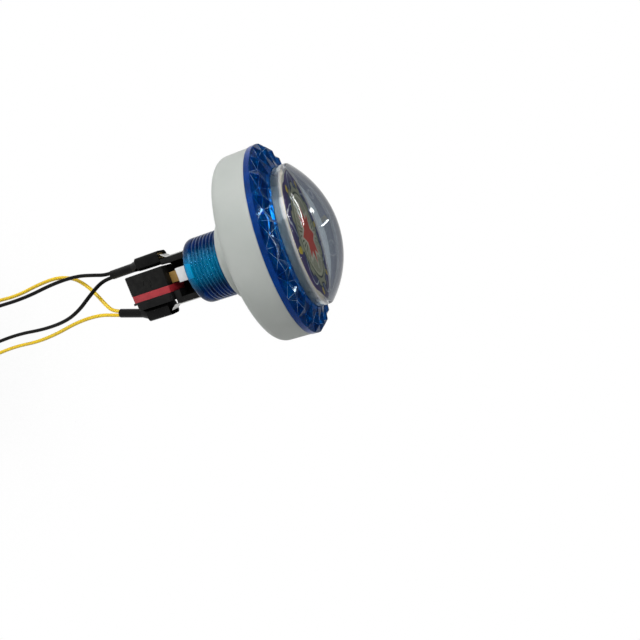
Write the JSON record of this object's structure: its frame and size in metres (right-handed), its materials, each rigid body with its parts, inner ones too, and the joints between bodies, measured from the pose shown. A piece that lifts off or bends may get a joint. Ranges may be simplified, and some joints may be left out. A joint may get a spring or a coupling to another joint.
{
  "type": "arcade push button",
  "caption": "Large round arcade push button: clear dome over a printed disc, faceted blue ring, frosted light collar, threaded stem with clamp nut, microswitch and lamp leads.",
  "frame": {"origin": "on the button's axis, in the plane of the collar's back, where the panel's front lies", "axes": "+Z out of the panel towards the player, +X from the black leads' side to the yellow leads' side"},
  "size_m": [0.0654, 0.0654, 0.179],
  "materials": {
    "clear_plastic": "polished, clear",
    "blue_plastic": "polished, transparent",
    "frosted_plastic": "frosted, translucent",
    "white_plastic": "moulded",
    "printed_card": "printed",
    "spring_steel": "bright",
    "circuit_board": "solder mask",
    "lamp_lens": "moulded",
    "black_plastic": "moulded",
    "red_plastic": "moulded",
    "tan_plastic": "moulded",
    "plated_steel": "tin plated",
    "brass": "pressed",
    "black_vinyl": "soft",
    "black_insulation": "extruded",
    "yellow_insulation": "extruded"
  },
  "bodies": {
    "base": {"housing": "blue_plastic", "light_collar": "frosted_plastic", "clamp_nut": "frosted_plastic", "return_spring": "spring_steel", "lamp_board": "circuit_board", "leds": "lamp_lens", "switch_case": "black_plastic", "switch_holder": "black_plastic", "switch_cover": "red_plastic", "switch_terminals": "plated_steel", "black_lead_tab": "plated_steel", "yellow_lead_tab": "plated_steel", "black_lead_1_end": "plated_steel", "black_lead_2_end": "plated_steel", "yellow_lead_1_end": "plated_steel", "yellow_lead_2_end": "plated_steel", "black_lead_terminal": "brass", "yellow_lead_terminal": "brass", "black_lead_boot": "black_vinyl", "yellow_lead_boot": "black_vinyl", "black_lead_1": "black_insulation", "black_lead_2": "black_insulation", "yellow_lead_1": "yellow_insulation", "yellow_lead_2": "yellow_insulation"},
    "plunger": {"plunger": "white_plastic", "dome": "clear_plastic", "print_disc": "printed_card"},
    "switch_button": {"switch_button": "tan_plastic"}
  },
  "joints": [
    {"name": "plunger_press", "type": "slide", "parent": "base", "child": "plunger", "axis": [0, 0, -1], "range_m": [0, 0.0022], "stiffness_N_per_m": 300, "springref_m": -0.003, "deforming": ["return_spring"]},
    {"name": "switch_button_press", "type": "slide", "parent": "base", "child": "switch_button", "axis": [0, 0, -1], "range_m": [0, 0.0022], "stiffness_N_per_m": 200, "springref_m": -0.002}
  ],
  "couplings": [
    {"joint": "switch_button_press", "follows": "plunger_press", "ratio": 1}
  ]
}
